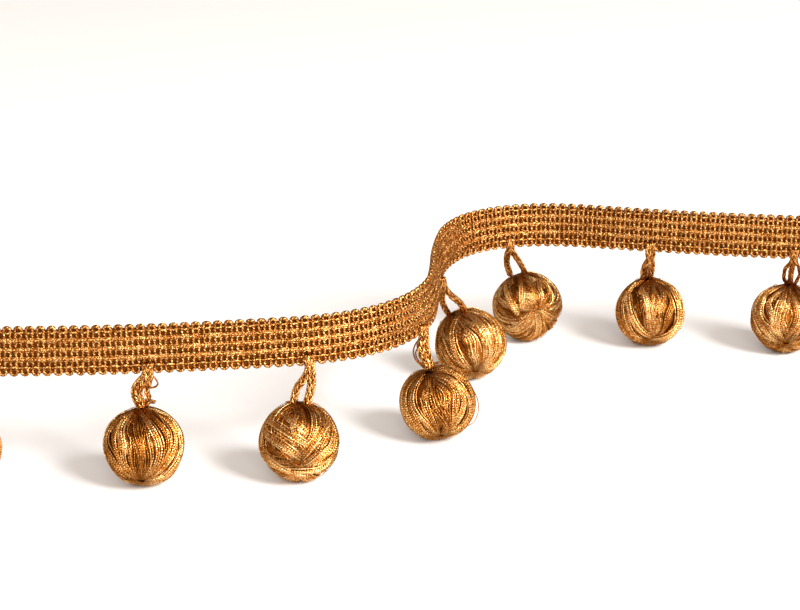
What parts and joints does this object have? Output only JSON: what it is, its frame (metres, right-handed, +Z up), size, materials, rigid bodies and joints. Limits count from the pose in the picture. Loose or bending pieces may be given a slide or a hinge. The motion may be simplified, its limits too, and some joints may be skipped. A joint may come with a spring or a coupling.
{
  "type": "ball fringe trim",
  "caption": "Gold gimp braid heading with wound ribbon balls hanging from its lower edge on thread loops, standing on its balls in an S-shaped run.",
  "frame": {"origin": "on the floor, below the middle of the trim's bounding box", "axes": "+X along the trim's longest side, left to right as seen from its front; +Y towards its back; +Z up"},
  "size_m": [0.2532, 0.1294, 0.041],
  "materials": {
    "braid_gold": "woven metallic gold yarn, satin with small sparkles",
    "loop_gold": "twisted gold thread, satin",
    "ball_gold": "wound metallic ribbon, glossy with bright beaded edges"
  },
  "bodies": {
    "root": {"heading_braid": "braid_gold", "hanger_loop_0": "loop_gold", "hanger_loop_1": "loop_gold", "hanger_loop_2": "loop_gold", "hanger_loop_3": "loop_gold", "hanger_loop_4": "loop_gold", "hanger_loop_5": "loop_gold", "hanger_loop_6": "loop_gold", "hanger_loop_7": "loop_gold", "wound_ball_0": "ball_gold", "wound_ball_1": "ball_gold", "wound_ball_2": "ball_gold", "wound_ball_3": "ball_gold", "wound_ball_4": "ball_gold", "wound_ball_5": "ball_gold", "wound_ball_6": "ball_gold", "wound_ball_7": "ball_gold"}
  },
  "joints": []
}
